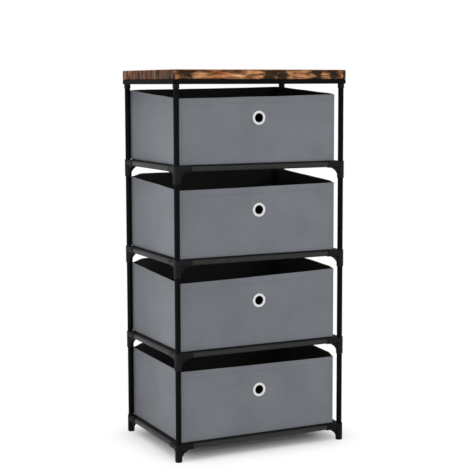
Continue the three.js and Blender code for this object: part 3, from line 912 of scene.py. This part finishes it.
def stitch_mesh(drawer):
    """The stitches of one drawer: the hem's line and two lines at each upright corner."""
    made = bmesh.new()

    def stitch(start, start_height, end, end_height):
        a, b = (drawer.surface(*spot, -STITCH_OUT) for spot in ((start, start_height), (end, end_height)))
        out = drawer.spot(start)[3].to_3d()
        across = (b - a).normalized().cross(out).normalized()
        rings = []
        for share, swell in STITCH_RINGS:
            middle = a.lerp(b, share) + out * (STITCH_ARCH * math.sin(math.pi * share) - STITCH_SINK)
            rings.append([made.verts.new(middle + (across * cosine + out * sine) * THREAD * swell)
                          for sine, cosine in arc(6, 2 * math.pi)[:-1]])
        skin(made, rings)
        made.faces.new(rings[0])
        made.faces.new(rings[-1])

    count = int(drawer.length / STITCH_PITCH)
    hem = under_rim(HEM_DROP)
    for i in range(count):
        start = drawer.length * i / count
        stitch(start, hem, start + STITCH_LENGTH, hem)
    start = 0.0
    for side, run in enumerate(drawer.straight):
        for along, share in ((start + SEAM_INSET, 0.0), (start + run - SEAM_INSET, 1.0)):
            for i in range(int((drawer.rim(side, share) - HEM_DROP - SEAM_SHORT) / STITCH_PITCH)):
                low = SEAM_START + STITCH_PITCH * i
                stitch(along, level_row(low), along, level_row(low + STITCH_LENGTH))
        start += run + drawer.arc
    return finished(made, "stitches", ALL_SMOOTH)


def eyelet_mesh():
    """Rolled metal eyelet about its hole, axis along +Y, front crown towards -Y."""
    low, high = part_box("drawer_1_eyelet")
    outer, rear = (high.x - low.x) / 2, high.y - low.y
    hole, crown = 13 * MM, 1.4 * MM
    neck = hole + 1.2 * MM
    half, centre = (outer - hole) / 2, (outer + hole) / 2
    profile = [(centre - half * cosine, crown - crown * sine ** 0.8) for sine, cosine in arc(12, math.pi)]
    profile += [(outer - 0.2 * MM, crown + 0.05 * MM), (outer - 0.9 * MM, crown + 0.25 * MM),
                (neck + 0.4 * MM, crown + 0.3 * MM), (neck, crown + 0.7 * MM),
                (neck, rear - crown - 0.3 * MM), (neck + 0.5 * MM, rear - crown)]
    half = (outer - 1.2 * MM - hole) / 2
    profile += [(hole + half + half * cosine * 0.98, rear - crown + crown * sine ** 0.8)
                for sine, cosine in arc(8, math.pi)]
    mesh = turned("eyelet", profile, EYELET_SIDES, CLOTH_SHARP)
    mesh.transform(TO_Y)
    return mesh


def base_board_mesh(size, level):
    """A thin cloth-covered board with soft edges and a slight warp."""
    edge, warp, across, deep = 1.1 * MM, 0.35 * MM, 42, 30
    half_x, half_y, top = size.x / 2 - edge, size.y / 2 - edge, size.z - warp
    made = bmesh.new()
    cloth = made.loops.layers.uv.new("cloth")

    def sheet(height, depth):
        """One face of the board, of which it gives the border's vertices."""
        rows = []
        for j in range(deep + 1):
            rows.append([])
            for i in range(across + 1):
                x, y = i / across * 2 - 1, j / deep * 2 - 1
                lift = uneven(x * half_x * 6, y * half_y * 6, level * 4.1, depth)
                lift *= (1 - x ** 4) * (1 - y ** 4)
                rows[-1].append(made.verts.new((x * half_x, y * half_y, height + lift)))
        for one, two in zip(rows, rows[1:]):
            for i in range(across):
                made.faces.new((one[i], one[i + 1], two[i + 1], two[i]))
        return [*rows[0], *(row[-1] for row in rows[1:-1]), *rows[-1][::-1],
                *(row[0] for row in rows[-2:0:-1])]

    def pushed(value, half, out):
        return value + math.copysign(out, value) if abs(abs(value) - half) < SAME_POINT else value

    rings = [sheet(0.0, 0.0)]
    for angle in (-60, -30, 0, 30, 60):
        turn = math.radians(angle)
        height, out = top / 2 * (1 + math.sin(turn)), edge * math.cos(turn)
        rings.append([made.verts.new((pushed(vert.co.x, half_x, out), pushed(vert.co.y, half_y, out), height))
                      for vert in rings[0]])
    skin(made, [*rings, sheet(top, warp)])
    for face in made.faces:
        for loop in face.loops:
            loop[cloth].uv = (loop.vert.co.x, loop.vert.co.y + loop.vert.co.z)
    return finished(made, f"base_board_{level}", CLOTH_SHARP)


def add_drawers(grey, lining, thread, metal, board_cloth):
    eyelet = eyelet_mesh()
    for level in LEVELS:
        body = f"drawer_{level}"
        drawer = Drawer(level)
        walls = drawer.shell("cloth", fabric_rows(), FINE_COLUMNS)
        add_piece(f"{body}_cloth_walls", walls, grey, body, [f"{body}_fabric_bin"])
        inside = drawer.shell("lining", lining_rows(), COARSE_COLUMNS)
        add_piece(f"{body}_black_lining", inside, lining, body)
        add_piece(f"{body}_stitching", stitch_mesh(drawer), thread, body)
        low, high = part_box(f"{body}_eyelet")
        place = Matrix.Translation((drawer.eyelet.x, low.y, drawer.eyelet.y))
        add_piece(f"{body}_metal_eyelet", eyelet, metal, body, [f"{body}_eyelet"], place)
        low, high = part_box(f"{body}_base_board")
        place = Matrix.Translation(((low.x + high.x) / 2, (low.y + high.y) / 2, low.z))
        base = base_board_mesh(high - low, level)
        add_piece(f"{body}_covered_base", base, board_cloth, body, [f"{body}_base_board"],
                  place)


# Floor, world and lamps
FLOOR_REACH = 30
FLOOR_LIT, FLOOR_SEEN = (0.62, 0.615, 0.605), (0.925, 0.915, 0.88)
SHADE_INSIDE, SHADE_REACH = 90 * MM, 190 * MM
WHITE, WORLD_STRENGTH = (1, 1, 1), 0.20

# Name, place, size, power, what it points at, and whether gloss shows it
LAMPS = (
    ("top_lamp", (-0.3, -0.6, 3.0), (2.6, 2.6), 56, (0, 0, 0.55), False),
    ("side_lamp", (-0.68, -0.14, 0.63), (0.08, 1.24), 2.85, (-0.2, -0.14, 0.63), True),
    ("fill_lamp", (0.6, -2.8, 0.6), (1.6, 1.6), 40, (0, 0, 0.30), False),
    ("back_lamp", (2.6, 1.9, 1.7), (2.0, 2.0), 26, (0, 0, 0.5), False),
)


def add_stage():
    """A floor that keeps the shadow under the object and fades to white round it."""
    mesh = bpy.data.meshes.new("floor")
    corners = [(x * FLOOR_REACH, y * FLOOR_REACH, 0) for x, y in ((-1, -1), (1, -1), (1, 1), (-1, 1))]
    mesh.from_pydata(corners, [], [(0, 1, 2, 3)])
    floor = linked("floor", mesh)
    material = bpy.data.materials.new("pale_floor")
    material.use_nodes = True
    material.node_tree.nodes.clear()
    nodes = Nodes(material.node_tree)
    shaded = (cad_high.x - SHADE_INSIDE, cad_high.y - SHADE_INSIDE, 0)
    past = nodes.vector_math("SUBTRACT", nodes.vector_math("ABSOLUTE", nodes.place()), shaded)
    away = nodes.vector_math("LENGTH", nodes.vector_math("MAXIMUM", past, (0, 0, 0)))
    plain = nodes.node("ShaderNodeBsdfDiffuse", Color=FLOOR_LIT)
    bright = nodes.node("ShaderNodeBsdfDiffuse", Color=FLOOR_SEEN)
    white = nodes.node("ShaderNodeEmission")
    faded = nodes.node("ShaderNodeMixShader", i0=nodes.spread(away, 0.0, SHADE_REACH), i1=bright.outputs[0],
                       i2=white.outputs[0])
    nodes.shown_apart(plain, faded, "ShaderNodeOutputMaterial")
    mesh.materials.append(material)


def add_world():
    world = bpy.data.worlds.new("studio")
    bpy.context.scene.world = world
    world.use_nodes = True
    world.node_tree.nodes.clear()
    nodes = Nodes(world.node_tree)
    lit = nodes.node("ShaderNodeBackground", Color=WHITE, Strength=WORLD_STRENGTH)
    seen = nodes.node("ShaderNodeBackground", Color=WHITE, Strength=1.0)
    nodes.shown_apart(lit, seen, "ShaderNodeOutputWorld")


def add_lamp(name, place, size, power, target, shows):
    data = bpy.data.lights.new(name, "AREA")
    data.shape, data.size, data.size_y = "RECTANGLE", *size
    data.energy = power
    lamp = linked(name, data)
    lamp.visible_camera = False
    lamp.visible_glossy = shows
    aim = Vector(target) - Vector(place)
    lamp.matrix_world = Matrix.Translation(place) @ aim.to_track_quat("-Z", "Y").to_matrix().to_4x4()


add_camera()
add_stage()
add_world()
for lamp in LAMPS:
    add_lamp(*lamp)
bpy.context.scene.view_settings.view_transform = "Standard"

plastic = moulded_plastic("black_plastic_moulded", 0.10)
# The posts' paint is a shaded copy of the rails' paint, with a darker base colour and less gloss. This is
# painted shade for how dark the posts look. The top frame takes it too.
shaded_post_paint = painted_steel("black_paint_posts_shaded_copy", 0.04, (0.0028, 0.0028, 0.003), (0.0048, 0.0048, 0.005),
                           0.55, 0.7)
add_tubes(shaded_post_paint, painted_steel("black_paint_rails", 0.34, (0.007, 0.007, 0.0073), (0.012, 0.012, 0.0123),
                                    0.40, 0.54))
add_collars(plastic)
# The feet's plastic is a shaded copy with less gloss, so that they reflect less of the floor. This is painted
# shade for the shadow round the feet.
add_connectors(plastic, moulded_plastic("black_plastic_feet_shaded_copy", 0.05))
add_board(rustic_foil())
add_top_frame(shaded_post_paint)
add_shelf_panels(shelf_finish())
add_drawers(
    bonded_cloth("grey_bonded_cloth", (0.159, 0.169, 0.187), (0.199, 0.211, 0.233), (0.277, 0.289, 0.314)),
    bonded_cloth("black_lining_cloth", (0.026, 0.0248, 0.0252), (0.04, 0.0385, 0.0388), (0.062, 0.06, 0.06)),
    thread_finish(),
    bright_metal(),
    bonded_cloth("black_base_cloth", (0.006, 0.006, 0.0065), (0.011, 0.011, 0.0115), (0.022, 0.022, 0.023)),
)
